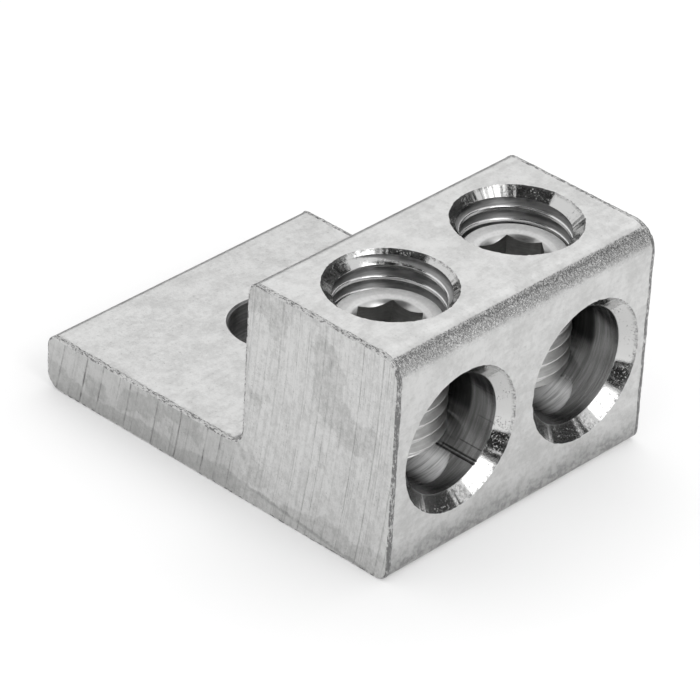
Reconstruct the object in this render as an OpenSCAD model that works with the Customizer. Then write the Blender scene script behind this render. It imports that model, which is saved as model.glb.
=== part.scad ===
// Dual conductor lug: a length of extruded L-shaped bar, sawn off square, with
// two wire bores drilled through its block, a set screw tapped down onto each
// wire, and a flat tongue that bolts down over one stud.
// Millimetres. The origin is on the stud hole's axis at the seat face, +Z is up,
// +Y runs from the wire entries to the tongue's end and +X along the bar.

/* [Bar] */
// Width of the lug between its two sawn ends
body_width = 32.4; // [31.8:0.1:40]
// Length over all, from the wire entry face to the tongue's end
body_length = 41.5; // [37:0.1:60]
// Length of the block that holds the wires
block_length = 17.4; // [16.4:0.1:21]
// Height of the block above the seat face
block_height = 22; // [19:0.1:26]
// Thickness of the tongue
tongue_thickness = 5.35; // [3.5:0.05:8]

/* [Bar edges] */
// Radius along the block's top edge above the wire entries
entry_top_radius = 2.4; // [0.4:0.1:3]
// Radius along the block's bottom edge below the wire entries
entry_foot_radius = 1.2; // [0.2:0.1:3]
// Radius along the block's top edge on the tongue's side
block_back_radius = 1.1; // [0.2:0.1:2.4]
// Radius of the fillet where the tongue meets the block
root_radius = 1.6; // [0.4:0.1:4]
// Radius along the upper edge of the tongue's end
tongue_top_radius = 1; // [0.2:0.1:1.8]
// Radius along the lower edge of the tongue's end
tongue_foot_radius = 1.7; // [0.2:0.1:3]

/* [Wire bores] */
// Diameter of each wire bore
wire_bore_diameter = 11.3; // [8:0.1:12]
// Height of the bores' axes above the seat face
wire_bore_height = 10.8; // [9:0.1:12.5]
// Distance between the two bores' axes
conductor_spacing = 15.9; // [14.6:0.1:16.8]
// Distance that the pair of bores stands right of the middle of the bar
bore_offset = 0.2; // [0:0.05:0.5]
// Depth of the chamfer at each bore's mouth
wire_mouth_chamfer = 1.2; // [0.1:0.1:1.3]
// Distance the drill runs on past the root fillet before it stops
drill_overtravel = 1; // [0.2:0.1:3]

/* [Tapped holes] */
// Nominal diameter of the screw thread
thread_diameter = 11.11; // [9:0.01:11.6]
// Pitch of the screw thread
thread_pitch = 1.27; // [0.7:0.01:1.75]
// Distance from the wire entry face to the screws' axes
screw_setback = 9; // [8.4:0.1:10.2]
// Depth of the chamfer at each tapped hole's mouth
tapped_mouth_chamfer = 0.75; // [0.1:0.05:1]
// Depth the tapped holes go on below the screws' points
thread_end_gap = 0.2; // [0.1:0.05:1.5]

/* [Set screws] */
// Length of each set screw
screw_length = 11.6; // [9:0.1:13]
// Depth of the screws' tops below the block's top
screw_recess = 3.25; // [1:0.05:5]
// Radial clearance between a screw and its tapped hole
running_clearance = 0.05; // [0.01:0.01:0.1]
// Width of the chamfer round a screw's top
crown_chamfer = 0.4; // [0.1:0.05:0.7]
// Width of the chamfer round the flat point that presses on the wire
point_chamfer = 0.55; // [0.1:0.05:2]
// Width across the flats of the hexagon socket
socket_across_flats = 5.55; // [4:0.01:6]
// Depth of the socket's flat walls
socket_depth = 5; // [3:0.1:6]
// Distance the countersunk rim of the socket stands outside its corners
socket_rim = 0.15; // [0.05:0.05:0.5]
// Step from the socket's flats in to the wall of its pilot drilling
pilot_step = 0.15; // [0.05:0.05:0.5]
// Angle the left screw was left turned to
left_screw_turn = 37; // [0:1:59]
// Angle the right screw was left turned to
right_screw_turn = 54; // [0:1:59]

/* [Stud hole] */
// Diameter of the stud hole in the tongue
stud_hole_diameter = 8.7; // [5:0.1:10.5]
// Distance from the wire entry face to the stud hole's axis
stud_setback = 29.2; // [27:0.1:32]
// Width of the broken edge round the top of the stud hole
stud_hole_break = 0.2; // [0.05:0.05:0.5]

/* [Hidden] */
$fn = 96;
// Length by which a cutter stands out of the metal that it cuts
slack = 1;
// Half of a twist drill's point angle
drill_half_angle = 59;
// Share of the pitch between a thread's nominal and pitch diameters
pitch_diameter_drop = 0.6495;

left_end = -body_width / 2 - bore_offset;
entry_face = -stud_setback;
left_axis = -conductor_spacing / 2;
right_axis = conductor_spacing / 2;

wire_bore_radius = wire_bore_diameter / 2;
wire_bore_run = block_length + root_radius + drill_overtravel;

// The plain hole and shank stand for the thread at its pitch diameter
thread_radius = (thread_diameter - pitch_diameter_drop * thread_pitch) / 2;
shank_radius = thread_radius - running_clearance;
crown_radius = shank_radius - crown_chamfer;
point_radius = shank_radius - point_chamfer;

screw_top = block_height - screw_recess;
screw_point = screw_top - screw_length;
tapped_end = min(screw_point - thread_end_gap, wire_bore_height);

socket_corner_radius = socket_across_flats / sqrt(3);
socket_rim_radius = socket_corner_radius + socket_rim;
pilot_radius = socket_across_flats / 2 - pilot_step;

function drill_point_length(radius) = radius / tan(drill_half_angle);

// The cusp between a corner towards +X and +Y and the arc that touches both of
// its sides: a rounding takes it off, and a fillet adds it
module corner_cusp(radius) {
    difference() {
        translate([-slack, -slack]) square(radius + slack);
        translate([radius, radius]) circle(radius);
    }
}

// Section of the bar, with the wire entry face at X = 0 and the seat at Y = 0
module bar_section() {
    rounded_corners = [
        [[0, 0], 0, entry_foot_radius],
        [[body_length, 0], 90, tongue_foot_radius],
        [[body_length, tongue_thickness], 180, tongue_top_radius],
        [[block_length, block_height], 180, block_back_radius],
        [[0, block_height], 270, entry_top_radius]
    ];
    difference() {
        union() {
            square([block_length, block_height]);
            square([body_length, tongue_thickness]);
            translate([block_length, tongue_thickness]) corner_cusp(root_radius);
        }
        for (corner = rounded_corners)
            translate(corner[0]) rotate(corner[1]) corner_cusp(corner[2]);
    }
}

// Chamfered bore through the block, ending in the drill's point
module wire_bore(axis_x) {
    translate([axis_x, entry_face, wire_bore_height])
        rotate([-90, 0, 0])
            rotate_extrude()
                polygon([
                    [0, -slack],
                    [wire_bore_radius + wire_mouth_chamfer + slack, -slack],
                    [wire_bore_radius, wire_mouth_chamfer],
                    [wire_bore_radius, wire_bore_run],
                    [0, wire_bore_run + drill_point_length(wire_bore_radius)]
                ]);
}

// Chamfered hole from the block's top through the wire bore
module tapped_hole(axis_x) {
    translate([axis_x, entry_face + screw_setback, 0])
        rotate_extrude()
            polygon([
                [0, tapped_end],
                [thread_radius, tapped_end],
                [thread_radius, block_height - tapped_mouth_chamfer],
                [thread_radius + tapped_mouth_chamfer + slack, block_height + slack],
                [0, block_height + slack]
            ]);
}

// Plain hole through the tongue with its upper edge broken
module stud_hole() {
    radius = stud_hole_diameter / 2;
    rotate_extrude()
        polygon([
            [0, -slack],
            [radius, -slack],
            [radius, tongue_thickness - stud_hole_break],
            [radius + stud_hole_break + slack, tongue_thickness + slack],
            [0, tongue_thickness + slack]
        ]);
}

// Hexagon socket below the plane Z = 0, with a countersunk rim and a pilot
// drilling below its flats
module hexagon_socket() {
    translate([0, 0, -socket_depth])
        cylinder(h = socket_depth + slack, r = socket_corner_radius, $fn = 6);
    rotate_extrude()
        polygon([
            [0, -socket_rim_radius],
            [socket_rim_radius + slack, slack],
            [0, slack]
        ]);
    rotate_extrude()
        polygon([
            [0, -socket_depth - drill_point_length(pilot_radius)],
            [pilot_radius, -socket_depth],
            [pilot_radius, -socket_depth / 2],
            [0, -socket_depth / 2]
        ]);
}

// Set screw standing on its point at Z = 0
module set_screw() {
    difference() {
        rotate_extrude()
            polygon([
                [0, 0],
                [point_radius, 0],
                [shank_radius, point_chamfer],
                [shank_radius, screw_length - crown_chamfer],
                [crown_radius, screw_length],
                [0, screw_length]
            ]);
        translate([0, 0, screw_length]) hexagon_socket();
    }
}

module lug_body() {
    color([0.80, 0.80, 0.79])
        difference() {
            translate([left_end, entry_face, 0])
                rotate([90, 0, 90])
                    linear_extrude(body_width) bar_section();
            for (axis_x = [left_axis, right_axis]) {
                wire_bore(axis_x);
                tapped_hole(axis_x);
            }
            stud_hole();
        }
}

module set_screw_left() {
    color([0.68, 0.68, 0.67])
        translate([left_axis, entry_face + screw_setback, screw_point])
            rotate(left_screw_turn) set_screw();
}

module set_screw_right() {
    color([0.68, 0.68, 0.67])
        translate([right_axis, entry_face + screw_setback, screw_point])
            rotate(right_screw_turn) set_screw();
}

lug_body();
set_screw_left();
set_screw_right();
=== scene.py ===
import math

import bmesh
import bpy
from mathutils import Matrix, Quaternion, Vector, noise


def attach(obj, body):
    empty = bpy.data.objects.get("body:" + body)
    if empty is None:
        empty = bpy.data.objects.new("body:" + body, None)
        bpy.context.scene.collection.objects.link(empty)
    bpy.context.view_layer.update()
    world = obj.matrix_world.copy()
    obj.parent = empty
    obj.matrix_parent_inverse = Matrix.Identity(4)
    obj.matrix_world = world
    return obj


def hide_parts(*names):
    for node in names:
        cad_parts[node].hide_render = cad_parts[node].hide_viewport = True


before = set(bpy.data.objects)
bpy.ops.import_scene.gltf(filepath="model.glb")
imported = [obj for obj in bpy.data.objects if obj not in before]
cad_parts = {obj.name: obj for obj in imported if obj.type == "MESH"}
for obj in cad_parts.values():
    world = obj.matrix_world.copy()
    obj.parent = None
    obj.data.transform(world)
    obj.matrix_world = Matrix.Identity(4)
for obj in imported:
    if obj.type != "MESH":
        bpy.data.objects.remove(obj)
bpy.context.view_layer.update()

millimetre = 0.001
sharpAngle = 32  # edges that turn by more stay sharp
overrun = 1.0  # how far a cutter stands out of the metal
scene = bpy.context.scene


def arc(centre, radius, start, end, steps=10):
    angles = [math.radians(start + (end - start) * i / steps) for i in range(steps + 1)]
    return [(centre[0] + radius * math.cos(a), centre[1] + radius * math.sin(a)) for a in angles]


def makePiece(name, points, faces, material):
    mesh = bpy.data.meshes.new(name)
    mesh.from_pydata(points, [], faces)
    mesh.update()
    piece = bpy.data.objects.new(name, mesh)
    scene.collection.objects.link(piece)
    mesh.materials.append(material)
    return piece


def turned(name, profile, material, steps, place=Matrix.Identity(4)):
    # Solid turned about its own Z from (radius, height) points; the first and last lie on the axis
    points = [Vector((0, 0, profile[0][1])), Vector((0, 0, profile[-1][1]))]
    rings = profile[1:-1]
    for radius, height in rings:
        for i in range(steps):
            a = 2 * math.pi * i / steps
            points.append(Vector((radius * math.cos(a), radius * math.sin(a), height)))
    faces = []
    for i in range(steps):
        j = (i + 1) % steps
        faces.append((0, 2 + j, 2 + i))
        for k in range(len(rings) - 1):
            low, high = 2 + k * steps, 2 + (k + 1) * steps
            faces.append((low + i, low + j, high + j, high + i))
        last = 2 + (len(rings) - 1) * steps
        faces.append((last + i, last + j, 1))
    return makePiece(name, [place @ p for p in points], faces, material)


def prism(name, corners, low, high, material):
    count = len(corners)
    points = [(x, y, z) for z in (low, high) for x, y in corners]
    faces = [tuple(reversed(range(count))), tuple(range(count, 2 * count))]
    faces += [(i, (i + 1) % count, count + (i + 1) % count, count + i) for i in range(count)]
    return makePiece(name, points, faces, material)


def threadedRod(name, axis, low, high, pitch, ridge, start, material, steps=96):
    # Right-hand thread; ridge holds (height, radius) points of one pitch, start its height at angle 0
    count = len(ridge)
    # A few turns more than the rod has, so that each end's cut finds one
    turns = int((high - low) / pitch) + 6
    first = int(math.floor((low - start) / pitch)) - 2
    points, index, faces = [], {}, []

    def level(i, k):
        turn, part = divmod(k, count)
        return start + pitch * (i / steps + turn + first) + ridge[part][0]

    def corner(i, k):
        height, radius = level(i, k), ridge[k % count][1]
        tag = k
        if height <= low or height >= high:
            tag = "low" if height <= low else "high"
            limit = low if height <= low else high
            if (i, tag) not in index:
                # The radius where the ridge passes through the end's plane
                k0 = k
                while level(i, k0) < limit:
                    k0 += 1
                while level(i, k0) > limit:
                    k0 -= 1
                span = level(i, k0 + 1) - level(i, k0)
                share = (limit - level(i, k0)) / span
                radius = ridge[k0 % count][1] * (1 - share) + ridge[(k0 + 1) % count][1] * share
            height = limit
        if (i, tag) not in index:
            a = 2 * math.pi * i / steps
            index[(i, tag)] = len(points)
            points.append((axis[0] + radius * math.cos(a), axis[1] + radius * math.sin(a), height))
        return index[(i, tag)]

    for i in range(steps):
        for k in range(count, (turns - 1) * count):
            if i < steps - 1:
                quad = [corner(i, k), corner(i + 1, k), corner(i + 1, k + 1), corner(i, k + 1)]
            else:
                quad = [corner(i, k), corner(0, k + count), corner(0, k + count + 1), corner(i, k + 1)]
            face = [p for n, p in enumerate(quad) if p not in quad[:n]]
            if len(face) > 2:
                faces.append(tuple(face))
    faces.append(tuple(index[(i, "low")] for i in reversed(range(steps))))
    faces.append(tuple(index[(i, "high")] for i in range(steps)))
    return makePiece(name, points, faces, material)


def applyModifiers(piece):
    graph = bpy.context.evaluated_depsgraph_get()
    mesh = bpy.data.meshes.new_from_object(piece.evaluated_get(graph))
    piece.modifiers.clear()
    piece.data = mesh


def carve(piece, cutter, operation="DIFFERENCE"):
    # The cut takes the cutter's material
    step = piece.modifiers.new("carve", "BOOLEAN")
    step.operation = operation
    step.solver = "EXACT"
    step.object = cutter
    step.material_mode = "TRANSFER"
    applyModifiers(piece)
    bpy.data.objects.remove(cutter)


def finishPiece(piece, weld=0.0004, sliver=0.0002):
    # Welds, smooths all but the sharp edges, and goes from millimetres to metres
    form = bmesh.new()
    form.from_mesh(piece.data)
    bmesh.ops.remove_doubles(form, verts=form.verts, dist=weld)
    bmesh.ops.dissolve_degenerate(form, edges=form.edges, dist=sliver)
    bmesh.ops.recalc_face_normals(form, faces=form.faces)
    form.to_mesh(piece.data)
    form.free()
    piece.data.polygons.foreach_set("use_smooth", [True] * len(piece.data.polygons))
    piece.data.set_sharp_from_angle(angle=math.radians(sharpAngle))
    normals = piece.modifiers.new("normals", "WEIGHTED_NORMAL")
    normals.keep_sharp = True
    applyModifiers(piece)
    piece.data.transform(Matrix.Scale(millimetre, 4))


def emptyTree(owner):
    owner.use_nodes = True
    owner.node_tree.nodes.clear()
    return owner.node_tree


def addNode(tree, kind, inputs=None, **settings):
    made = tree.nodes.new(kind)
    for key, value in settings.items():
        setattr(made, key, value)
    for key, value in (inputs or {}).items():
        if isinstance(value, bpy.types.NodeSocket):
            tree.links.new(value, made.inputs[key])
        else:
            made.inputs[key].default_value = value
    return made


class Finish:
    # A metal's node tree; its places are in millimetres on the piece
    def __init__(self, name):
        self.material = bpy.data.materials.new(name)
        self.tree = emptyTree(self.material)
        self.found = addNode(self.tree, "ShaderNodeTexCoord").outputs
        self.place = self.vector("SCALE", self.found["Object"], scale=1 / millimetre)

    def vector(self, operation, first, second=None, scale=None):
        inputs = {0: first}
        if second is not None:
            inputs[1] = second
        if scale is not None:
            inputs["Scale"] = scale
        made = addNode(self.tree, "ShaderNodeVectorMath", inputs, operation=operation)
        return made.outputs["Value" if operation in ("LENGTH", "DISTANCE") else "Vector"]

    def math(self, operation, first, second=0.0):
        return addNode(self.tree, "ShaderNodeMath", {0: first, 1: second}, operation=operation).outputs[0]

    def times(self, first, second):
        return self.math("MULTIPLY", first, second)

    def plus(self, first, second):
        return self.math("ADD", first, second)

    def gap(self, first, second):
        return self.math("ABSOLUTE", self.math("SUBTRACT", first, second))

    def axis(self, letter, value=None):
        return addNode(self.tree, "ShaderNodeSeparateXYZ", {0: value or self.place}).outputs[letter]

    def point(self, x, y, z=0.0):
        return addNode(self.tree, "ShaderNodeCombineXYZ", {0: x, 1: y, 2: z}).outputs[0]

    def grain(self, stretch=(1, 1, 1), scale=1.0, detail=2.0, rough=0.5, place=None):
        moved = self.vector("MULTIPLY", place or self.place, stretch)
        inputs = {"Vector": moved, "Scale": scale, "Detail": detail, "Roughness": rough}
        return addNode(self.tree, "ShaderNodeTexNoise", inputs).outputs["Fac"]

    def ramp(self, value, low, high, to=(0.0, 1.0), smooth=True):
        inputs = {"Value": value, "From Min": low, "From Max": high, "To Min": to[0], "To Max": to[1]}
        kind = "SMOOTHSTEP" if smooth else "LINEAR"
        return addNode(self.tree, "ShaderNodeMapRange", inputs, interpolation_type=kind).outputs["Result"]

    def blend(self, factor, first, second):
        # Between two numbers
        return addNode(self.tree, "ShaderNodeMix", {0: factor, 2: first, 3: second}).outputs[0]

    def mix(self, factor, first, second):
        # Between two colours
        made = addNode(self.tree, "ShaderNodeMix", data_type="RGBA")
        for socket, value in ((0, factor), (6, first), (7, second)):
            if isinstance(value, bpy.types.NodeSocket):
                self.tree.links.new(value, made.inputs[socket])
            else:
                made.inputs[socket].default_value = value if socket == 0 else (*value, 1)
        return made.outputs[2]

    def bump(self, height, depth, below=None):
        # Depth in millimetres
        inputs = {"Height": height, "Distance": depth * millimetre, "Strength": 1.0}
        if below is not None:
            inputs["Normal"] = below
        return addNode(self.tree, "ShaderNodeBump", inputs).outputs[0]

    def close(self, colour, roughness, normal, spread=0.0, across=None, metallic=1.0):
        # spread stretches the gloss along the direction across, for metal with rings or strokes
        constants = {"Metallic": metallic, "Anisotropic": spread}
        shader = addNode(self.tree, "ShaderNodeBsdfPrincipled", constants)
        if across:
            self.tree.links.new(self.point(*across), shader.inputs["Tangent"])
        for key, value in (("Base Color", colour), ("Roughness", roughness), ("Normal", normal)):
            self.tree.links.new(value, shader.inputs[key])
        addNode(self.tree, "ShaderNodeOutputMaterial", {"Surface": shader.outputs[0]})
        return self.material


bar = {
    "left": -16.4,
    "right": 16.0,
    "entry": -29.2,
    "back": -11.8,
    "tip": 12.3,
    "top": 22.0,
    "tongue": 5.35,
    "entryTop": 2.4,  # from here on the radii of the rounded edges
    "entryFoot": 1.2,
    "blockBack": 1.1,
    "root": 1.6,
    "tongueTop": 1.0,
    "tongueFoot": 1.7,
}

holes = {
    "axis": 7.95,
    "screwY": -20.2,
    "wireZ": 10.8,
    "wireRadius": 5.65,
    "wireMouth": 1.22,  # depth of the wire entry's chamfer
    "wireEnd": -9.2,
    "tappedEnd": 6.95,
    "tappedMouth": 5.91,  # radius of the tapped hole's chamfer at the top
    "drillHalfAngle": 59.0,
    "stud": 4.35,
    "studBreak": 0.2,
    "wideChatter": 0.10,  # unevenness of the chamfers' rims
    "fineChatter": 0.13,
}

barFinish = {
    "light": (0.65, 0.65, 0.645),
    "dark": (0.53, 0.53, 0.525),
    "darkTone": (0.20, 0.20, 0.20),
    "roughness": (0.36, 0.50),
    "clouds": {"scale": 0.36, "detail": 6, "rough": 0.68},
    "mottle": {"scale": 1.7, "detail": 4, "rough": 0.65},
    "speck": {"scale": 5.0, "detail": 4, "rough": 0.7},
    "dieLines": {"stretch": (0.10, 3.0, 3.0), "detail": 2},
    "dents": {"scale": 0.9, "detail": 4, "rough": 0.6},
    "pebbles": {"scale": 5.5, "detail": 3, "rough": 0.8},
    "cloudShare": 0.55,
    "mottleShare": 0.33,
    "lineShare": 0.12,
    "specks": 0.60,
    "dentDepth": 0.030,
    "speckDepth": 0.014,
    "pebbleDepth": 0.085,
    "edgeShade": 0.62,
    "footShade": 0.72,
    "footHeight": 4.6,
    "edgePits": (0.75, 0.05),
    "edgeLine": (0.50, 0.10),
    "edgeShine": 0.20,
}


def plateFinish():
    f, look = Finish("platedBar"), barFinish
    kinds = ("clouds", "mottle", "speck", "dieLines", "dents", "pebbles")
    clouds, mottle, speck, dieLines, dents, pebbles = (f.grain(**look[kind]) for kind in kinds)
    y, z = f.axis("Y"), f.axis("Z")
    shade = f.plus(f.times(clouds, look["cloudShare"]), f.times(mottle, look["mottleShare"]))
    shade = f.plus(shade, f.times(dieLines, look["lineShare"]))
    colour = f.mix(f.ramp(shade, 0.38, 0.60), look["dark"], look["light"])
    specks = f.times(f.ramp(speck, 0.60, 0.72, (0.0, look["specks"])),
                     f.ramp(mottle, 0.40, 0.60, (1.0, 0.15)))
    colour = f.mix(specks, colour, look["darkTone"])
    # Painted shade darkens the rounded edges and the root fillet
    facingY, facingZ = f.axis("Y", f.found["Normal"]), f.axis("Z", f.found["Normal"])
    turn = f.math("MINIMUM", f.math("ABSOLUTE", facingY), f.math("ABSOLUTE", facingZ))
    rounded = f.ramp(turn, 0.06, 0.34)
    inner, lower = bar["entry"] + bar["entryTop"], bar["top"] - bar["entryTop"]
    entryEdge = f.times(f.ramp(y, inner, inner + 0.3, (1.0, 0.0)), f.ramp(z, lower - 0.4, lower))
    darkening = f.times(rounded, f.math("SUBTRACT", 1.0, entryEdge))
    darkening = f.times(darkening, f.ramp(z, 1.6, 3.0))
    darkening = f.times(darkening, f.ramp(mottle, 0.35, 0.60, (look["edgeShade"], 0.5 * look["edgeShade"])))
    colour = f.mix(darkening, colour, look["darkTone"])
    # Painted shade: the entry face is darker towards its foot
    foot = f.ramp(z, 0.2, look["footHeight"], (look["footShade"], 0.0))
    foot = f.times(foot, f.ramp(y, bar["entry"] + 0.1, bar["entry"] + 0.3, (1.0, 0.0)))
    foot = f.times(foot, f.ramp(mottle, 0.36, 0.60, (1.25, 0.75)))
    colour = f.mix(foot, colour, look["darkTone"])
    # The die left the rounded edge over the wire entries rough, with a dark line along its upper side
    steep = f.plus(facingZ, f.ramp(speck, 0.3, 0.7, (-0.02, 0.02)))
    band = f.times(entryEdge, f.ramp(steep, 0.83, 0.90, (1.0, 0.0)))
    line = f.times(band, f.ramp(steep, 0.66, 0.80))
    faded = f.ramp(f.plus(steep, f.ramp(mottle, 0.3, 0.7, (-0.08, 0.08))), 0.08, 0.56)
    band = f.times(band, faded)
    pits = f.times(band, f.ramp(pebbles, 0.42, 0.60, look["edgePits"]))
    pits = f.plus(pits, f.times(line, f.ramp(pebbles, 0.42, 0.64, look["edgeLine"])))
    colour = f.mix(pits, colour, look["darkTone"])
    roughness = f.ramp(speck, 0.3, 0.7, look["roughness"])
    roughness = f.math("SUBTRACT", roughness, f.times(band, look["edgeShine"]))
    normal = f.bump(dents, look["dentDepth"])
    normal = f.bump(speck, look["speckDepth"], normal)
    normal = f.bump(f.times(f.math("SUBTRACT", pebbles, 0.5), band), look["pebbleDepth"], normal)
    return f.close(colour, roughness, normal)


sawFinish = {
    "light": (0.66, 0.66, 0.655),
    "dark": (0.52, 0.52, 0.515),
    "darkTone": (0.14, 0.14, 0.14),
    "dullAndShade": (0.40, 0.40, 0.395),
    "roughness": (0.38, 0.52),
    "bladeCentre": (0.0, 121.0, 25.0),
    "wobble": 0.16,
    "sway": {"stretch": (1, 0.5, 0.5), "detail": 4},
    "strokes": {"scale": 3.0, "detail": 3, "rough": 0.6},
    "broken": {"stretch": (1, 1, 0.6), "scale": 0.7, "detail": 5, "rough": 0.7},
    "mottle": {"stretch": (1, 1, 0.8), "scale": 1.8, "detail": 5, "rough": 0.75},
    "speck": {"scale": 5.0, "detail": 4, "rough": 0.7},
    "patches": {"scale": 0.115, "detail": 6, "rough": 0.55},
    "patchShift": (0, 7.4, -1.0),
    "strokeShare": 0.30,
    "mottleShare": 0.70,
    "dullPatch": (0.58, 0.30),
    "tongueShade": 0.42,
    "specks": 0.55,
    "strokeDepth": 0.014,
    "scoreDepth": 0.05,
    "speckDepth": 0.014,
    "tongueStart": (-14.0, -9.0),
    "stepSlope": 0.107,
    "stepHeight": 3.0,
    "stepDark": 0.34,
}

# The saw's single scores: number in a millimetre, half their width, darkness on the tongue and on the block
sawScores = (
    (0.42, 0.13, 1.00, 0.26),
    (0.90, 0.09, 0.30, 0.42),
    (2.10, 0.07, 0.15, 0.16),
)


def sawnFinish():
    f, look = Finish("sawnEnd"), sawFinish
    z = f.axis("Z")
    reach = f.vector("DISTANCE", f.vector("MULTIPLY", f.place, (0, 1, 1)), look["bladeCentre"])
    stroke = f.plus(reach, f.times(f.grain(**look["sway"]), look["wobble"]))
    strokes = f.grain(place=f.point(stroke, f.times(z, 0.05), f.axis("X")), **look["strokes"])
    broken, mottle, speck = (f.grain(**look[kind]) for kind in ("broken", "mottle", "speck"))
    patch = f.grain(place=f.vector("ADD", f.place, look["patchShift"]), **look["patches"])
    shade = f.plus(f.times(strokes, look["strokeShare"]), f.times(mottle, look["mottleShare"]))
    colour = f.mix(f.ramp(shade, 0.34, 0.60), look["dark"], look["light"])
    # Dull patches with a firm outline, and painted shade: a dark band along the foot and a darker tongue
    # end
    foot = f.plus(z, f.times(patch, 9.0))
    dullAndShade = f.math("MAXIMUM", f.ramp(patch, 0.56, 0.59), f.ramp(foot, 6.3, 6.7, (1.0, 0.0)))
    onBlock = f.ramp(f.axis("Y"), *look["tongueStart"], (1.0, 0.0))
    dullAndShade = f.times(dullAndShade, f.ramp(mottle, 0.36, 0.60, look["dullPatch"]))
    dullAndShade = f.plus(dullAndShade, f.ramp(onBlock, 0.0, 1.0, (look["tongueShade"], 0.0)))
    colour = f.mix(dullAndShade, colour, look["dullAndShade"])
    scores = 0.0
    for number, width, onTongue, darkness in sawScores:
        cells = addNode(f.tree, "ShaderNodeTexVoronoi", {"W": stroke, "Scale": number},
                        voronoi_dimensions="1D")
        line = f.ramp(cells.outputs["Distance"], 0.15 * width * number, width * number, (1.0, 0.0))
        tone = addNode(f.tree, "ShaderNodeSeparateColor", {0: cells.outputs["Color"]}).outputs[0]
        line = f.times(line, f.ramp(tone, 0.0, 0.8, (0.35, 1.0)))
        line = f.times(line, f.ramp(onBlock, 0.0, 1.0, (onTongue, darkness)))
        scores = f.math("MAXIMUM", scores, f.times(line, f.ramp(broken, 0.38, 0.58, (0.20, 1.0))))
    colour = f.mix(scores, colour, look["darkTone"])
    # The step where the saw broke through, low on the block
    step = f.plus(z, f.times(f.axis("Y"), -look["stepSlope"]))
    step = f.plus(step, f.times(f.math("SUBTRACT", mottle, 0.5), 0.8))
    step = f.ramp(f.gap(step, look["stepHeight"]), 0.05, 0.26, (look["stepDark"], 0.0))
    step = f.times(step, f.ramp(broken, 0.36, 0.52, (0.4, 1.0)))
    colour = f.mix(f.times(step, onBlock), colour, look["darkTone"])
    specks = f.times(f.ramp(speck, 0.56, 0.72, (0.0, look["specks"])),
                     f.ramp(broken, 0.40, 0.60, (0.2, 1.0)))
    colour = f.mix(specks, colour, look["darkTone"])
    roughness = f.ramp(speck, 0.3, 0.7, look["roughness"])
    normal = f.bump(strokes, look["strokeDepth"])
    normal = f.bump(f.times(scores, -1.0), look["scoreDepth"], normal)
    normal = f.bump(speck, look["speckDepth"], normal)
    return f.close(colour, roughness, normal)


burrFinish = {
    "light": (0.60, 0.60, 0.595),
    "dark": (0.19, 0.19, 0.19),
    "roughness": (0.20, 0.46),
    "crumbs": {"stretch": (1.7, 0.62, 0.62), "scale": 3.6, "detail": 4, "rough": 0.70},
    "patches": {"scale": 0.45, "detail": 2},
    "patchShare": 0.3,
    "crumbDepth": 0.10,
    "entryDirt": 0.11,
}


def burrEdgeFinish():
    f, look = Finish("burrEdge"), burrFinish
    crumbs, patch = f.grain(**look["crumbs"]), f.grain(**look["patches"])
    clean = f.plus(crumbs, f.times(patch, look["patchShare"]))
    # More dirt along the wire entry face
    nearEntry = f.ramp(f.axis("Y"), bar["entry"] + 0.3, bar["entry"] + 0.7, (look["entryDirt"], 0.0))
    clean = f.ramp(f.math("SUBTRACT", clean, nearEntry), 0.535, 0.71)
    colour = f.mix(clean, look["dark"], look["light"])
    roughness = f.ramp(crumbs, 0.35, 0.65, look["roughness"])
    return f.close(colour, roughness, f.bump(crumbs, look["crumbDepth"]))


boreFinish = {
    "light": (0.60, 0.60, 0.595),
    "wallLight": (0.57, 0.57, 0.57),
    "dark": (0.33, 0.33, 0.33),
    "darkTone": (0.06, 0.06, 0.06),
    "speck": {"scale": 3.2, "detail": 4, "rough": 0.75},
    "patches": {"scale": 0.6, "detail": 3},
    "crumbs": {"scale": 6.5, "detail": 2},
    "wireRings": {"stretch": (0.22, 5.0, 0.22), "scale": 0.8, "detail": 4, "rough": 0.7},
    "tappedRings": {"stretch": (0.22, 0.22, 5.0), "scale": 0.8, "detail": 4, "rough": 0.7},
    "wireRoughness": (0.17, 0.27),
    "wireMouthRoughness": (0.06, 0.13),
    "tappedRoughness": (0.44, 0.56),
    "tappedMouthRoughness": (0.08, 0.18),
    "ringDepth": 0.016,
    "mouthRingDepth": 0.003,
    "rippleDepth": 0.006,
    "tearDepth": 0.030,
    "scratchDepth": 0.05,
    "rimDirtAndFootShade": 0.65,
    "footShade": 0.8,
    "dirtRoughness": 0.25,
    "highlightPatch": (0.92, 0.92, 0.92),
    "highlightRoughness": 0.60,
    "highlightRadius": 6.2,
    "highlightAngle": -77.0,
    "deepShade": (0.02, 0.02, 0.02),
    "deepStart": (-25.6, -25.0),
    "deepDark": 0.85,
    "crestHighlight": (0.72, 0.72, 0.72),
    "crestRoughness": 0.15,
    "grooveShade": 0.56,
}

# Scratches along the left wire bore: angle round it, half its width, where it starts, darkness
boreScratches = (
    (-51.0, 0.11, -24.2, 0.75),
    (-54.3, 0.14, -23.6, 0.85),
    (-41.0, 0.06, -25.5, 0.35),
    (-14.0, 0.07, -26.4, 0.30),
    (14.0, 0.05, -25.2, 0.30),
)


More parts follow.
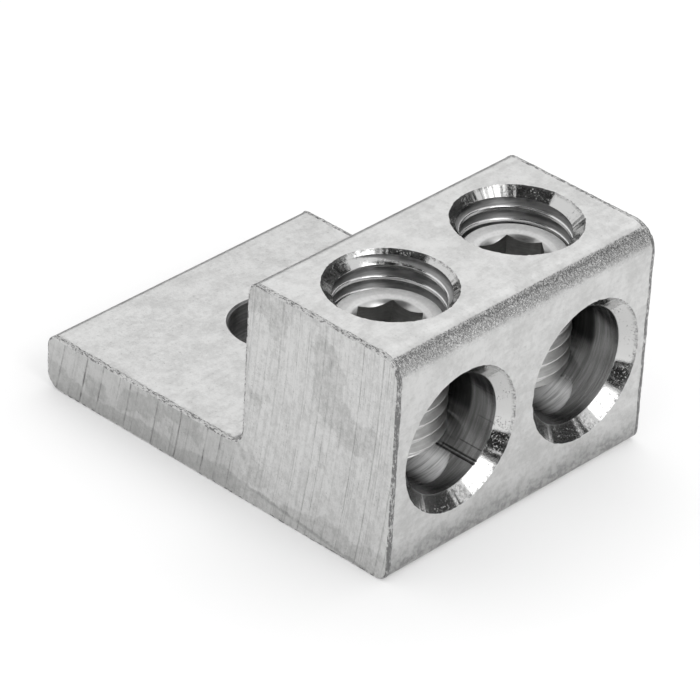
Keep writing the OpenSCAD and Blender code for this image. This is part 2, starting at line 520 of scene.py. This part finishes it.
def machinedFinish(name, wire, spread, holeShade=1.0):
    # Cut metal: the tool's rings run round its axis, and the mouth's chamfer is brighter and torn in places
    f, look, h = Finish(name), boreFinish, holes
    y, z = f.axis("Y"), f.axis("Z")
    rings = f.grain(**look["wireRings" if wire else "tappedRings"])
    speck, patch, crumbs = (f.grain(**look[kind]) for kind in ("speck", "patches", "crumbs"))
    # Places measured from the axes of the nearer pair of holes
    side = f.ramp(f.axis("X"), -0.01, 0.01, (-1.0, 1.0), smooth=False)
    across = f.math("SUBTRACT", f.axis("X"), f.times(side, h["axis"]))
    reach = f.vector("DISTANCE", f.point(across, y), (0, h["screwY"], 0))
    angle = f.math("ARCTAN2", f.math("SUBTRACT", z, h["wireZ"]), across)
    if wire:
        mouthEnd = bar["entry"] + h["wireMouth"]
        atMouth = f.ramp(y, mouthEnd - 0.07, mouthEnd, (1.0, 0.0))
        rim = f.ramp(y, bar["entry"] + 0.05, bar["entry"] + 0.34, (1.0, 0.0))
        foot = f.ramp(angle, -1.42, -1.18, (look["footShade"], 0.0))
    else:
        coneHeight = bar["top"] - h["tappedMouth"]
        atMouth = f.ramp(f.math("SUBTRACT", z, reach), coneHeight - 0.12, coneHeight - 0.06)
        rim = f.ramp(z, bar["top"] - 0.28, bar["top"] - 0.04)
        foot = 0.0
    inside = f.math("SUBTRACT", 1.0, atMouth)
    # Painted shade darkens the walls of the tapped and stud holes by this factor
    dark, wallLight = (tuple(holeShade * c for c in look[key]) for key in ("dark", "wallLight"))
    colour = f.mix(f.ramp(rings, 0.35, 0.65), dark, wallLight)
    colour = f.mix(atMouth, colour, look["light"])
    # Dirt along the rim, and painted shade at the foot of a wire mouth
    darkening = f.times(f.math("MAXIMUM", rim, foot), f.ramp(speck, 0.38, 0.60, (look["rimDirtAndFootShade"], 0.0)))
    colour = f.mix(f.times(darkening, atMouth), colour, look["darkTone"])
    wear = f.plus(f.times(rings, 0.5), f.times(speck, 0.5))
    wall = f.ramp(wear, 0.35, 0.65, look["wireRoughness" if wire else "tappedRoughness"])
    mouthRings = f.ramp(inside, 0.0, 1.0, (look["mouthRingDepth"] / look["ringDepth"], 1.0))
    normal = f.bump(f.times(rings, mouthRings), look["ringDepth"])
    if wire:
        # A pale, rougher patch on the bore's floor under the tapped hole is a painted highlight
        highlightPatch = f.ramp(reach, look["highlightRadius"] - 0.3, look["highlightRadius"], (1.0, 0.0))
        away = f.gap(angle, math.radians(look["highlightAngle"]))
        highlightPatch = f.times(highlightPatch, f.ramp(away, 0.05, 0.52, (1.0, 0.0)))
        wall = f.blend(highlightPatch, wall, look["highlightRoughness"])
        colour = f.mix(f.times(highlightPatch, f.ramp(rings, 0.3, 0.6, (0.3, 1.0))), colour, look["highlightPatch"])
        # Painted shade: the bore is dark deeper in, from its side up over its top
        deepShade = f.times(f.ramp(y, *look["deepStart"]), f.ramp(angle, -0.44, -0.16))
        colour = f.mix(f.times(deepShade, look["deepDark"]), colour, look["deepShade"])
        scratches = 0.0
        for turn, width, start, darkness in boreScratches:
            away = f.gap(angle, math.radians(turn))
            line = f.ramp(away, 0.03 * width, width / h["wireRadius"], (darkness, 0.0))
            line = f.times(line, f.ramp(y, start, start + 0.5, (1.0, 0.0)))
            scratches = f.math("MAXIMUM", scratches, f.times(line, inside))
        scratches = f.times(scratches, f.ramp(f.axis("X"), -1.0, -0.5, (1.0, 0.0)))
        colour = f.mix(scratches, colour, look["darkTone"])
        normal = f.bump(f.times(scratches, -1.0), look["scratchDepth"], normal)
    else:
        # The thread's crests are burnished and made paler by a painted highlight, and painted shade darkens
        # its grooves
        crest = f.ramp(reach, 4.93, 5.05, (1.0, 0.0))
        wall = f.blend(crest, wall, look["crestRoughness"])
        colour = f.mix(f.times(crest, inside), colour, look["crestHighlight"])
        groove = f.times(f.ramp(reach, 5.15, 5.50), inside)
        groove = f.times(groove, f.ramp(patch, 0.38, 0.58, (0.35, 1.0)))
        colour = f.mix(f.times(groove, look["grooveShade"]), colour, look["darkTone"])
    shine = f.ramp(speck, 0.35, 0.65, look["wireMouthRoughness" if wire else "tappedMouthRoughness"])
    shine = f.plus(shine, f.times(darkening, look["dirtRoughness"]))
    roughness = f.plus(f.times(wall, inside), f.times(shine, atMouth))
    # Small tears and ripples in the chamfer, thicker in some places than in others
    torn = f.ramp(f.plus(crumbs, f.times(patch, 0.5)), 0.91, 1.02)
    normal = f.bump(f.times(torn, atMouth), look["tearDepth"], normal)
    normal = f.bump(f.times(speck, f.ramp(atMouth, 0.0, 1.0, (0.25, 1.0))), look["rippleDepth"], normal)
    return f.close(colour, roughness, normal, spread, (0, 1, 0) if wire else (0, 0, 1))


thread = {
    "pitch": 1.27,
    "angle": 30,  # half of the angle between the flanks
    "holeMinor": 4.90,
    "holeMajor": 5.57,
    "screwRoot": 4.79,
    "screwMajor": 5.50,
    "flankGap": 0.05,
    "leftCrest": 18.34,  # height of a crest of each hole at the crest angle
    "rightCrest": 18.92,
    "crestAngle": 41.85,
    "corner": 0.05,
}

# The saw's burr along both ends, and how far its rows wander from a straight line
burrShape = {
    "step": 0.14,
    "height": 0.11,
    "fine": 0.05,
    "wide": 0.10,
    "dragged": 0.06,  # at the corner where the saw came in
    "draggedCorner": 0.9,
    "draggedSpread": 2.6,
}


def uneven(a, b, density, seed):
    # Smooth chance, from about -1 to 1
    return noise.noise(Vector((a * density, b * density, seed)))


def ragged(y, z, seed):
    # Uneven height of a burr, from 0 to about 1
    return min(1.2, max(0.0, 0.35 + 0.7 * uneven(y, z, 0.9, seed) + 0.9 * uneven(y, z, 3.1, seed + 7.3)))


def burrRows(y, z, seed):
    # How far each row stands in from the sawn end and out from the bar: skin, burr, sawn face
    s = burrShape
    rise = ragged(y, z, seed * 11.7) * s["height"]
    fromCorner = (y - bar["entry"] - s["draggedCorner"]) ** 2 + (z - bar["top"] + s["draggedCorner"]) ** 2
    drift = s["fine"] * uneven(y, z, 2.3, 3.1 + seed)
    drift += s["wide"] * uneven(y, z, 0.6, 8.1 + seed)
    drift += s["dragged"] * math.exp(-fromCorner / s["draggedSpread"])
    return (
        (0.74, 0.0),
        (0.44 + drift, 0.25 * rise),
        (0.23 + drift, rise),
        (0.03 + 0.2 * drift, 0.45 * rise - 0.04),
        (-0.25 * rise, -0.17 - 0.6 * drift),
        (0.0, -0.48),
    )


def barOutline():
    b = bar
    corners = [
        ((b["entry"] + b["entryFoot"], b["entryFoot"]), b["entryFoot"], 180, 270),
        ((b["tip"] - b["tongueFoot"], b["tongueFoot"]), b["tongueFoot"], 270, 360),
        ((b["tip"] - b["tongueTop"], b["tongue"] - b["tongueTop"]), b["tongueTop"], 0, 90),
        ((b["back"] + b["root"], b["tongue"] + b["root"]), b["root"], 270, 180),
        ((b["back"] - b["blockBack"], b["top"] - b["blockBack"]), b["blockBack"], 0, 90),
        ((b["entry"] + b["entryTop"], b["top"] - b["entryTop"]), b["entryTop"], 90, 180),
    ]
    return [point for corner in corners for point in arc(*corner)]


def makeBar(skin, sawn, burr):
    outline = barOutline()
    count = len(outline)
    loop, corners = [], []
    for i, start in enumerate(outline):
        end = outline[(i + 1) % count]
        corners.append(len(loop))
        parts = max(1, round(math.dist(start, end) / burrShape["step"]))
        for n in range(parts):
            share = n / parts
            loop.append((start[0] + (end[0] - start[0]) * share, start[1] + (end[1] - start[1]) * share))
    total = len(loop)
    outward = []
    for i in range(total):
        before, after = loop[i - 1], loop[(i + 1) % total]
        outward.append(Vector((after[1] - before[1], before[0] - after[0])).normalized())
    skinSlot, sawnSlot, burrSlot = 0, 1, 2
    rowSlots = (skinSlot, burrSlot, burrSlot, burrSlot, sawnSlot)
    points, faces, slots, starts = [], [], [], {}
    for seed, (edge, inward) in enumerate(((bar["left"], 1), (bar["right"], -1))):
        starts[edge] = len(points)
        rows = [burrRows(y, z, seed) for y, z in loop]
        for row in range(len(rowSlots) + 1):
            for i, (y, z) in enumerate(loop):
                inset, proud = rows[i][row]
                points.append((edge + inward * inset, y + outward[i][0] * proud, z + outward[i][1] * proud))
        for row, slot in enumerate(rowSlots):
            for i in range(total):
                a, b = starts[edge] + row * total + i, starts[edge] + row * total + (i + 1) % total
                faces.append((a, b, b + total, a + total))
                slots.append(slot)
        faces.append(tuple(starts[edge] + len(rowSlots) * total + i for i in range(total)))
        slots.append(sawnSlot)
    # The bar's long faces run from one end's skin row to the other's
    for i, first in enumerate(corners):
        last = corners[i + 1] if i + 1 < count else total
        near = [starts[bar["left"]] + n % total for n in range(first, last + 1)]
        far = [starts[bar["right"]] + n % total for n in range(first, last + 1)]
        faces.append(tuple(near + far[::-1]))
        slots.append(skinSlot)
    piece = makePiece("lugBody", points, faces, skin)
    piece.data.materials.append(sawn)
    piece.data.materials.append(burr)
    piece.data.polygons.foreach_set("material_index", slots)
    form = bmesh.new()
    form.from_mesh(piece.data)
    bmesh.ops.recalc_face_normals(form, faces=form.faces)
    form.to_mesh(piece.data)
    form.free()
    return piece


def holeRidge():
    t = thread
    tangent = math.tan(math.radians(t["angle"]))
    flank = (t["holeMajor"] - t["holeMinor"]) * tangent
    floor = t["pitch"] / 8
    land = t["pitch"] - floor - 2 * flank
    c = t["corner"]
    slope = c * tangent
    low, high = t["holeMinor"], t["holeMajor"]
    # The land's middle is at height 0, so that a crest of the metal is there
    return [
        (-land / 2 + c, low),
        (land / 2 - c, low),
        (land / 2 + slope, low + c),
        (land / 2 + flank - slope, high - c),
        (land / 2 + flank + c / 2, high),
        (land / 2 + flank + floor - c / 2, high),
        (land / 2 + flank + floor + slope, high - c),
        (land / 2 + 2 * flank + floor - slope, low + c),
    ]


def threadStart(crest):
    return crest - thread["pitch"] * thread["crestAngle"] / 360


def unevenRim(cutter, radius, seed):
    # A hand's chatter in the widest ring of a countersink
    for point in cutter.data.vertices:
        x, y = point.co.x, point.co.y
        if math.hypot(x, y) > radius - 0.01:
            change = holes["wideChatter"] * uneven(x, y, 0.8, seed)
            change += holes["fineChatter"] * uneven(x, y, 3.0, seed + 5)
            point.co.x *= 1 + change / radius
            point.co.y *= 1 + change / radius


def wireCutter(x, material):
    h = holes
    run = h["wireEnd"] - bar["entry"]
    point = h["wireRadius"] / math.tan(math.radians(h["drillHalfAngle"]))
    profile = [
        (0, -overrun),
        (h["wireRadius"] + h["wireMouth"] + overrun, -overrun),
        (h["wireRadius"], h["wireMouth"]),
        (h["wireRadius"], run),
        (0, run + point),
    ]
    place = Matrix.Translation((x, bar["entry"], h["wireZ"])) @ Matrix.Rotation(math.radians(-90), 4, "X")
    cutter = turned("wireCutter", profile, material, 144)
    unevenRim(cutter, h["wireRadius"] + h["wireMouth"] + overrun, x)
    cutter.data.transform(place)
    return cutter


def mouthCutter(x, material):
    h = holes
    bottom = thread["holeMinor"] - 0.1
    profile = [
        (0, bar["top"] - (h["tappedMouth"] - bottom)),
        (bottom, bar["top"] - (h["tappedMouth"] - bottom)),
        (h["tappedMouth"] + overrun, bar["top"] + overrun),
        (0, bar["top"] + overrun),
    ]
    cutter = turned("mouthCutter", profile, material, 144)
    unevenRim(cutter, h["tappedMouth"] + overrun, x)
    cutter.data.transform(Matrix.Translation((x, h["screwY"], 0)))
    return cutter


def studCutter(material):
    h = holes
    profile = [
        (0, -overrun),
        (h["stud"], -overrun),
        (h["stud"], bar["tongue"] - h["studBreak"]),
        (h["stud"] + h["studBreak"] + overrun, bar["tongue"] + overrun),
        (0, bar["tongue"] + overrun),
    ]
    return turned("studCutter", profile, material, 96)


print("finishes")
skin = plateFinish()
sawn = sawnFinish()
burr = burrEdgeFinish()
boreMetal = machinedFinish("boreWall", wire=True, spread=1.0)
tappedMetal = machinedFinish("tappedWall", wire=False, spread=0.90, holeShade=0.78)
studMetal = machinedFinish("studWall", wire=False, spread=0.8, holeShade=0.82)

print("bar")
body = makeBar(skin, sawn, burr)
for x, crest in ((-holes["axis"], thread["leftCrest"]), (holes["axis"], thread["rightCrest"])):
    carve(body, wireCutter(x, boreMetal))
    tapped = threadedRod("tapCutter", (x, holes["screwY"]), holes["tappedEnd"], bar["top"] + overrun,
                         thread["pitch"], holeRidge(), threadStart(crest), tappedMetal)
    carve(body, tapped)
    carve(body, mouthCutter(x, tappedMetal))
carve(body, studCutter(studMetal))
finishPiece(body)
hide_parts("lug_body")
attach(body, "lug")
print("bar done:", len(body.data.polygons), "faces")


screw = {
    "top": 18.75,
    "point": 7.15,
    "crownRadius": 4.68,
    "pointRadius": 4.56,
    "clearOfThread": 0.12,
    "socketCorner": 3.208,
    "socketRim": 3.358,
    # (radius, depth) points of the worn countersink
    "countersink": ((2.72, 0.66), (2.95, 0.42), (3.20, 0.21), (3.45, 0.075), (3.70, 0.012), (3.85, -0.01)),
    "socketDepth": 5.0,
    "pilot": 2.62,
    "leftTurn": 37,
    "rightTurn": 54,
}

screwFinish = {
    "light": (0.60, 0.60, 0.595),
    "dark": (0.46, 0.46, 0.455),
    "crown": (0.80, 0.80, 0.795),
    "crownMetallic": 0.30,
    "roughness": (0.28, 0.40),
    "crownRoughness": 0.62,
    "socketRoughness": 0.30,
    "rings": {"scale": 4.0, "detail": 3, "rough": 0.6},
    "clouds": {"scale": 0.7, "detail": 4, "rough": 0.6},
    "speck": {"scale": 3.0, "detail": 3, "rough": 0.6},
    "ringDepth": 0.012,
    "speckDepth": 0.010,
}


def screwMetalFinish(name, x):
    f, look, top = Finish(name), screwFinish, screw["top"]
    z = f.axis("Z")
    fromAxis = f.vector("SUBTRACT", f.place, (x, holes["screwY"], 0))
    radius = f.vector("LENGTH", f.vector("MULTIPLY", fromAxis, (1, 1, 0)))
    rings = f.grain(place=f.point(radius, z), **look["rings"])
    clouds, speck = f.grain(**look["clouds"]), f.grain(**look["speck"])
    shade = f.plus(f.times(rings, 0.5), f.times(clouds, 0.5))
    colour = f.mix(f.ramp(shade, 0.36, 0.62), look["dark"], look["light"])
    roughness = f.ramp(speck, 0.3, 0.7, look["roughness"])
    # The flat crown is dull and pale, the countersink in it is smooth
    crown = f.times(f.ramp(z, top - 0.30, top - 0.04), f.ramp(speck, 0.35, 0.65, (0.75, 1.0)))
    colour = f.mix(crown, colour, look["crown"])
    socket = f.times(f.ramp(radius, screw["socketRim"] - 0.02, screw["socketRim"], (1.0, 0.0)),
                     f.ramp(z, top - 0.9, top - 0.7))
    roughness = f.blend(crown, roughness, look["crownRoughness"])
    roughness = f.blend(socket, roughness, look["socketRoughness"])
    normal = f.bump(rings, look["ringDepth"])
    normal = f.bump(speck, look["speckDepth"], normal)
    metallic = f.ramp(crown, 0.0, 1.0, (1.0, look["crownMetallic"]))
    return f.close(colour, roughness, normal, metallic=metallic)


def screwRidge():
    t = thread
    tangent = math.tan(math.radians(t["angle"]))
    c = t["corner"]
    groove = t["pitch"] / 8 + 2 * (t["holeMajor"] - t["screwMajor"]) * tangent
    crest = groove - 2 * t["flankGap"]
    flank = (t["screwMajor"] - t["screwRoot"]) * tangent
    slope = c * tangent
    low, high = t["screwRoot"], t["screwMajor"]
    middle = t["pitch"] / 2  # the hole's groove is half a pitch above its crest
    return [
        (middle - crest / 2 - flank + slope, low + c),
        (middle - crest / 2 - slope, high - c),
        (middle - crest / 2 + c / 3, high),
        (middle + crest / 2 - c / 3, high),
        (middle + crest / 2 + slope, high - c),
        (middle + crest / 2 + flank - slope, low + c),
        (middle + crest / 2 + flank + c, low),
        (middle - crest / 2 - flank - c + t["pitch"], low),
    ]


def makeScrew(name, x, crest, turn, metal):
    s, y = screw, holes["screwY"]
    place = Matrix.Translation((x, y, 0))
    piece = threadedRod(name, (x, y), s["point"] - overrun / 2, s["top"] + overrun / 2, thread["pitch"],
                        screwRidge(), threadStart(crest), metal)
    # Both ends are turned down to a chamfer of 45 degrees
    wide = thread["screwMajor"] + s["clearOfThread"]
    envelope = [
        (0, s["point"]),
        (s["pointRadius"], s["point"]),
        (wide, s["point"] + wide - s["pointRadius"]),
        (wide, s["top"] - (wide - s["crownRadius"])),
        (s["crownRadius"], s["top"]),
        (0, s["top"]),
    ]
    carve(piece, turned("envelope", envelope, metal, 96, place), "INTERSECT")
    angles = [math.radians(turn + 60 * i) for i in range(6)]
    corners = [(x + s["socketCorner"] * math.cos(a), y + s["socketCorner"] * math.sin(a)) for a in angles]
    carve(piece, prism("socket", corners, s["top"] - s["socketDepth"], s["top"] + overrun, metal))
    rim = [(radius, s["top"] - depth) for radius, depth in s["countersink"]]
    rim = [(0, rim[0][1])] + rim + [(rim[-1][0], s["top"] + overrun), (0, s["top"] + overrun)]
    carve(piece, turned("rim", rim, metal, 96, place))
    floor = s["top"] - s["socketDepth"]
    pilot = [
        (0, floor - s["pilot"] / math.tan(math.radians(holes["drillHalfAngle"]))),
        (s["pilot"], floor),
        (s["pilot"], floor + overrun),
        (0, floor + overrun),
    ]
    carve(piece, turned("pilot", pilot, metal, 72, place))
    finishPiece(piece)
    print(name, "done:", len(piece.data.polygons), "faces")
    return piece


print("set screws")
leftScrew = makeScrew("setScrewLeft", -holes["axis"], thread["leftCrest"], screw["leftTurn"],
                      screwMetalFinish("screwMetalLeft", -holes["axis"]))
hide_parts("set_screw_left")
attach(leftScrew, "left_screw")
rightScrew = makeScrew("setScrewRight", holes["axis"], thread["rightCrest"], screw["rightTurn"],
                       screwMetalFinish("screwMetalRight", holes["axis"]))
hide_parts("set_screw_right")
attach(rightScrew, "right_screw")


view = {
    "aim": (-1.37, -10.15, 7.86),
    "azimuth": 48.146,
    "elevation": 32.552,
    "distance": 426.41,
    "roll": 3.307,
    "lens": 250.63,
    "sensor": 36,
}

studio = {
    "middle": (0, -12, 8),  # where the lamps and cards face
    "room": 1.0,
    "floor": (0.92, 0.92, 0.92),
    "floorGlow": 0.14,  # share of the floor's plain white, the rest takes light and shadow
    "floorHalf": 3.0,  # metres
    "floorDrop": 0.02,
}

# Azimuth 0 is in front of the wire entries and grows to their right; widths and heights are angles
softLights = {
    "keyLight": {
        "azimuth": -6, "elevation": 41, "width": 33, "height": 34, "distance": 300, "strength": 1.9,
    },
    "backLight": {
        "azimuth": 126, "elevation": 48, "width": 60, "height": 40, "distance": 400, "strength": 0.42,
    },
}

darkCards = {
    "sideCard": {
        "azimuth": 80, "elevation": 11, "roll": -35, "width": 84, "height": 34, "distance": 180,
        "grey": 0.03,
    },
    "overCard": {
        "azimuth": -72, "elevation": 64, "roll": 0, "width": 62, "height": 42, "distance": 420,
        "grey": 0.03,
    },
    "frontCard": {
        "azimuth": -34, "elevation": 3, "roll": 0, "width": 48, "height": 29, "distance": 100,
        "grey": 0.03,
    },
    "horizonCard": {
        "azimuth": 150, "elevation": 6, "roll": 0, "width": 100, "height": 24, "distance": 460,
        "grey": 0.03,
    },
}


def toward(azimuth, elevation):
    a, e = math.radians(azimuth), math.radians(elevation)
    return Vector((math.sin(a) * math.cos(e), -math.cos(a) * math.cos(e), math.sin(e)))


def facingBack(away, roll):
    # Turned to look back along the direction away
    facing = (-away).to_track_quat("-Z", "Y")
    return (facing @ Quaternion((0, 0, 1), math.radians(roll))).to_euler()


def placeFacing(piece, look):
    away = toward(look["azimuth"], look["elevation"])
    piece.location = (Vector(studio["middle"]) + away * look["distance"]) * millimetre
    piece.rotation_euler = facingBack(away, look.get("roll", 0))


def spanOf(look, side):
    return 2 * look["distance"] * millimetre * math.tan(math.radians(look[side] / 2))


def sheet(name, w, h, material):
    # w and h are half its width and height
    return makePiece(name, [(-w, -h, 0), (w, -h, 0), (w, h, 0), (-w, h, 0)], [(0, 1, 2, 3)], material)


def softLight(name, look):
    lamp = bpy.data.lights.new(name, "AREA")
    lamp.shape = "RECTANGLE"
    lamp.size, lamp.size_y = spanOf(look, "width"), spanOf(look, "height")
    lamp.energy = look["strength"] * math.pi * lamp.size * lamp.size_y
    light = bpy.data.objects.new(name, lamp)
    scene.collection.objects.link(light)
    placeFacing(light, look)
    light.visible_camera = False


def darkCard(name, look):
    # A dark board that only the metal reflects
    material = bpy.data.materials.new(name)
    tree = emptyTree(material)
    glow = addNode(tree, "ShaderNodeEmission", {"Color": (look["grey"], look["grey"], look["grey"], 1)})
    addNode(tree, "ShaderNodeOutputMaterial", {"Surface": glow.outputs[0]})
    card = sheet(name, spanOf(look, "width") / 2, spanOf(look, "height") / 2, material)
    placeFacing(card, look)
    card.visible_camera = card.visible_diffuse = card.visible_shadow = False


def seenDirectly(tree):
    # 1 for the camera's own rays and for what metal and glass show
    path = addNode(tree, "ShaderNodeLightPath").outputs
    seen = path["Is Camera Ray"]
    for kind in ("Is Glossy Ray", "Is Transmission Ray"):
        seen = addNode(tree, "ShaderNodeMath", {0: seen, 1: path[kind]}, operation="MAXIMUM").outputs[0]
    return seen


def makeFloor():
    material = bpy.data.materials.new("floor")
    tree = emptyTree(material)
    paper = addNode(tree, "ShaderNodeBsdfDiffuse", {"Color": (*studio["floor"], 1)})
    white = addNode(tree, "ShaderNodeEmission", {"Color": (1, 1, 1, 1)})
    share = addNode(tree, "ShaderNodeMath", {0: seenDirectly(tree), 1: studio["floorGlow"]},
                    operation="MULTIPLY")
    both = addNode(tree, "ShaderNodeMixShader",
                   {0: share.outputs[0], 1: paper.outputs[0], 2: white.outputs[0]})
    addNode(tree, "ShaderNodeOutputMaterial", {"Surface": both.outputs[0]})
    floor = sheet("floor", studio["floorHalf"], studio["floorHalf"], material)
    floor.location.z = -studio["floorDrop"] * millimetre


def makeWorld():
    scene.world = bpy.data.worlds.new("room")
    tree = emptyTree(scene.world)
    room = addNode(tree, "ShaderNodeBackground", {"Color": (1, 1, 1, 1), "Strength": studio["room"]})
    white = addNode(tree, "ShaderNodeBackground", {"Color": (1, 1, 1, 1), "Strength": 1.0})
    both = addNode(tree, "ShaderNodeMixShader",
                   {0: seenDirectly(tree), 1: room.outputs[0], 2: white.outputs[0]})
    addNode(tree, "ShaderNodeOutputWorld", {"Surface": both.outputs[0]})


def makeCamera():
    camera = bpy.data.cameras.new("camera")
    camera.lens = view["lens"]
    camera.sensor_width = view["sensor"]
    taker = bpy.data.objects.new("camera", camera)
    scene.collection.objects.link(taker)
    away = toward(-view["azimuth"], view["elevation"])
    taker.location = (Vector(view["aim"]) + away * view["distance"]) * millimetre
    taker.rotation_euler = facingBack(away, view["roll"])
    scene.camera = taker


print("studio")
makeFloor()
makeWorld()
for name, look in softLights.items():
    softLight(name, look)
for name, look in darkCards.items():
    darkCard(name, look)
makeCamera()
scene.view_settings.view_transform = "Standard"
